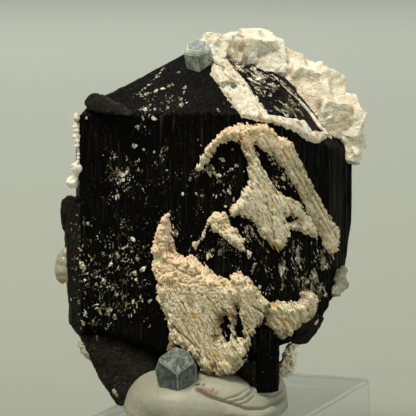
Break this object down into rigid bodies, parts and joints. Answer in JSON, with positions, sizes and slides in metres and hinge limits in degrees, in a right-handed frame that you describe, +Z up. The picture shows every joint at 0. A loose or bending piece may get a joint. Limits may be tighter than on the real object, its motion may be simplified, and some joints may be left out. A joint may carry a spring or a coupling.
{
  "type": "aquamarine specimen",
  "caption": "Display mineral specimen: black tourmaline crystal with cream feldspar crusts and pale blue aquamarine crystals, set in putty on a clear block.",
  "frame": {"origin": "centre of the clear block's underside", "axes": "+Z up, out of the block's top; the display side faces -Y; +X is to the right of the display side"},
  "size_m": [0.0505, 0.0538, 0.0696],
  "materials": {
    "black_tourmaline": "vitreous black, finely ridged",
    "cream_feldspar": "matt, granular",
    "aquamarine": "clear, pale grey-blue",
    "hyalite": "translucent",
    "putty": "soft satin",
    "clear_acrylic": "clear, polished"
  },
  "bodies": {
    "root": {"acrylic_base": "clear_acrylic", "mineral_putty": "putty", "schorl_crystal": "black_tourmaline", "feldspar_lower_crust": "cream_feldspar", "feldspar_upper_crust": "cream_feldspar", "feldspar_small_patch": "cream_feldspar", "feldspar_top_band": "cream_feldspar", "feldspar_back_mass": "cream_feldspar", "feldspar_left_crust": "cream_feldspar", "feldspar_lower_right": "cream_feldspar", "hyalite_drop": "hyalite", "hyalite_right": "hyalite", "quartz_chip_left": "hyalite", "aquamarine_top": "aquamarine", "aquamarine_band": "aquamarine", "aquamarine_base": "aquamarine"}
  },
  "joints": []
}
